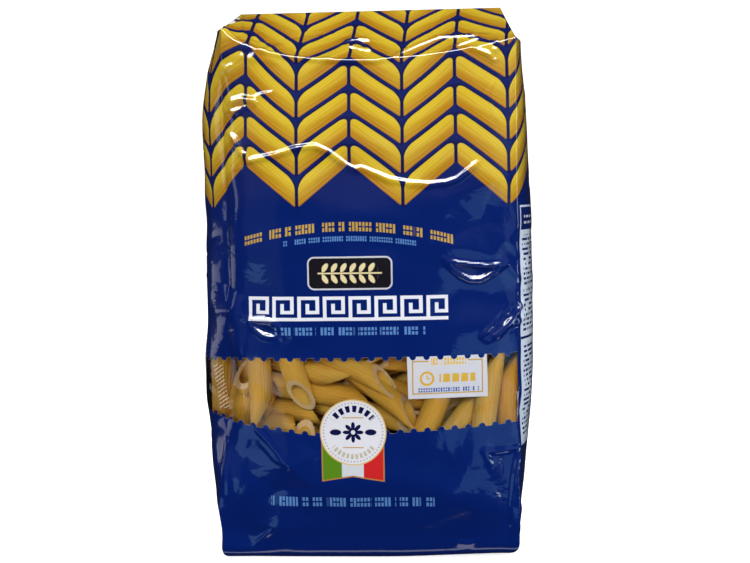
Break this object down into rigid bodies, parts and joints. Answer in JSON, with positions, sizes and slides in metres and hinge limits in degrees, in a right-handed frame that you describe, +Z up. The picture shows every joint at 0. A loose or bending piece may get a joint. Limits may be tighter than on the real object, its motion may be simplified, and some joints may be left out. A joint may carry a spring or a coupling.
{
  "type": "pasta packet",
  "caption": "Standing side-gusseted film bag of dry penne, with a printed front, a clear window band, and a sloping top whose seal is folded down behind.",
  "frame": {"origin": "middle of the flat base the packet stands on", "axes": "+Z up, the printed front with the window faces -Y, +X to the right seen from the front"},
  "size_m": [0.1194, 0.066, 0.195],
  "materials": {
    "printed_film": "glossy printed film, blue with yellow bars at the top",
    "clear_film": "clear glossy film",
    "pasta": "dry ridged pasta, slightly translucent"
  },
  "bodies": {
    "root": {"film_bag": "printed_film", "penne": "pasta"}
  },
  "joints": []
}
